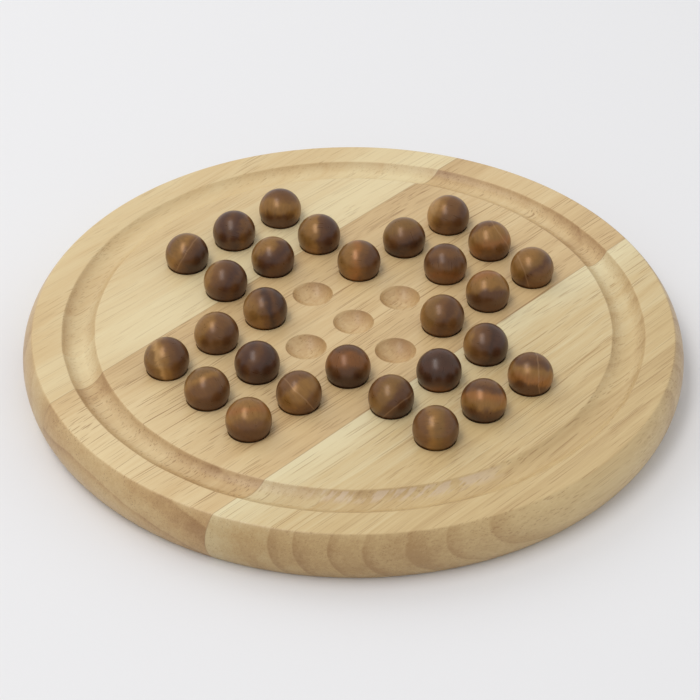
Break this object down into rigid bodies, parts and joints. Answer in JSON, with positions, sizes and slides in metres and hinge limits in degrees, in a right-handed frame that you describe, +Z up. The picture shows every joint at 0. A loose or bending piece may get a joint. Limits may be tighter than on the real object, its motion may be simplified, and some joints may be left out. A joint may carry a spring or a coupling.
{
  "type": "marble solitaire board",
  "caption": "Round wooden peg-jump solitaire board glued up from staves, with a cross of ball-nosed dimples, loose stone marbles and a perimeter groove for captured marbles.",
  "frame": {"origin": "centre of the board's underside, on the surface it stands on", "axes": "+Z up, square to the board; +X along the rows of dimples; +Y from the front row of dimples to the back row"},
  "size_m": [0.238, 0.238, 0.0312],
  "materials": {
    "stave_back": "satin lacquered rubberwood, pale straw",
    "stave_middle": "satin lacquered rubberwood, tan with dark pores",
    "stave_front": "satin lacquered rubberwood, straw to tan",
    "marble": "opaque polished tiger's eye stone, brown with golden bands"
  },
  "bodies": {
    "board": {"stave_back": "stave_back", "stave_middle": "stave_middle", "stave_front": "stave_front"},
    "marble_c1": {"marble_c1": "marble"},
    "marble_d1": {"marble_d1": "marble"},
    "marble_e1": {"marble_e1": "marble"},
    "marble_c2": {"marble_c2": "marble"},
    "marble_d2": {"marble_d2": "marble"},
    "marble_e2": {"marble_e2": "marble"},
    "marble_a3": {"marble_a3": "marble"},
    "marble_b3": {"marble_b3": "marble"},
    "marble_c3": {"marble_c3": "marble"},
    "marble_e3": {"marble_e3": "marble"},
    "marble_f3": {"marble_f3": "marble"},
    "marble_g3": {"marble_g3": "marble"},
    "marble_a4": {"marble_a4": "marble"},
    "marble_b4": {"marble_b4": "marble"},
    "marble_f4": {"marble_f4": "marble"},
    "marble_g4": {"marble_g4": "marble"},
    "marble_a5": {"marble_a5": "marble"},
    "marble_b5": {"marble_b5": "marble"},
    "marble_c5": {"marble_c5": "marble"},
    "marble_e5": {"marble_e5": "marble"},
    "marble_f5": {"marble_f5": "marble"},
    "marble_g5": {"marble_g5": "marble"},
    "marble_c6": {"marble_c6": "marble"},
    "marble_d6": {"marble_d6": "marble"},
    "marble_e6": {"marble_e6": "marble"},
    "marble_c7": {"marble_c7": "marble"},
    "marble_d7": {"marble_d7": "marble"},
    "marble_e7": {"marble_e7": "marble"}
  },
  "joints": [
    {"name": "marble_c1_lift", "type": "slide", "parent": "board", "child": "marble_c1", "axis": [0, 0, 1], "range_m": [0, 0.03]},
    {"name": "marble_d1_lift", "type": "slide", "parent": "board", "child": "marble_d1", "axis": [0, 0, 1], "range_m": [0, 0.03]},
    {"name": "marble_e1_lift", "type": "slide", "parent": "board", "child": "marble_e1", "axis": [0, 0, 1], "range_m": [0, 0.03]},
    {"name": "marble_c2_lift", "type": "slide", "parent": "board", "child": "marble_c2", "axis": [0, 0, 1], "range_m": [0, 0.03]},
    {"name": "marble_d2_lift", "type": "slide", "parent": "board", "child": "marble_d2", "axis": [0, 0, 1], "range_m": [0, 0.03]},
    {"name": "marble_e2_lift", "type": "slide", "parent": "board", "child": "marble_e2", "axis": [0, 0, 1], "range_m": [0, 0.03]},
    {"name": "marble_a3_lift", "type": "slide", "parent": "board", "child": "marble_a3", "axis": [0, 0, 1], "range_m": [0, 0.03]},
    {"name": "marble_b3_lift", "type": "slide", "parent": "board", "child": "marble_b3", "axis": [0, 0, 1], "range_m": [0, 0.03]},
    {"name": "marble_c3_lift", "type": "slide", "parent": "board", "child": "marble_c3", "axis": [0, 0, 1], "range_m": [0, 0.03]},
    {"name": "marble_e3_lift", "type": "slide", "parent": "board", "child": "marble_e3", "axis": [0, 0, 1], "range_m": [0, 0.03]},
    {"name": "marble_f3_lift", "type": "slide", "parent": "board", "child": "marble_f3", "axis": [0, 0, 1], "range_m": [0, 0.03]},
    {"name": "marble_g3_lift", "type": "slide", "parent": "board", "child": "marble_g3", "axis": [0, 0, 1], "range_m": [0, 0.03]},
    {"name": "marble_a4_lift", "type": "slide", "parent": "board", "child": "marble_a4", "axis": [0, 0, 1], "range_m": [0, 0.03]},
    {"name": "marble_b4_lift", "type": "slide", "parent": "board", "child": "marble_b4", "axis": [0, 0, 1], "range_m": [0, 0.03]},
    {"name": "marble_f4_lift", "type": "slide", "parent": "board", "child": "marble_f4", "axis": [0, 0, 1], "range_m": [0, 0.03]},
    {"name": "marble_g4_lift", "type": "slide", "parent": "board", "child": "marble_g4", "axis": [0, 0, 1], "range_m": [0, 0.03]},
    {"name": "marble_a5_lift", "type": "slide", "parent": "board", "child": "marble_a5", "axis": [0, 0, 1], "range_m": [0, 0.03]},
    {"name": "marble_b5_lift", "type": "slide", "parent": "board", "child": "marble_b5", "axis": [0, 0, 1], "range_m": [0, 0.03]},
    {"name": "marble_c5_lift", "type": "slide", "parent": "board", "child": "marble_c5", "axis": [0, 0, 1], "range_m": [0, 0.03]},
    {"name": "marble_e5_lift", "type": "slide", "parent": "board", "child": "marble_e5", "axis": [0, 0, 1], "range_m": [0, 0.03]},
    {"name": "marble_f5_lift", "type": "slide", "parent": "board", "child": "marble_f5", "axis": [0, 0, 1], "range_m": [0, 0.03]},
    {"name": "marble_g5_lift", "type": "slide", "parent": "board", "child": "marble_g5", "axis": [0, 0, 1], "range_m": [0, 0.03]},
    {"name": "marble_c6_lift", "type": "slide", "parent": "board", "child": "marble_c6", "axis": [0, 0, 1], "range_m": [0, 0.03]},
    {"name": "marble_d6_lift", "type": "slide", "parent": "board", "child": "marble_d6", "axis": [0, 0, 1], "range_m": [0, 0.03]},
    {"name": "marble_e6_lift", "type": "slide", "parent": "board", "child": "marble_e6", "axis": [0, 0, 1], "range_m": [0, 0.03]},
    {"name": "marble_c7_lift", "type": "slide", "parent": "board", "child": "marble_c7", "axis": [0, 0, 1], "range_m": [0, 0.03]},
    {"name": "marble_d7_lift", "type": "slide", "parent": "board", "child": "marble_d7", "axis": [0, 0, 1], "range_m": [0, 0.03]},
    {"name": "marble_e7_lift", "type": "slide", "parent": "board", "child": "marble_e7", "axis": [0, 0, 1], "range_m": [0, 0.03]}
  ]
}
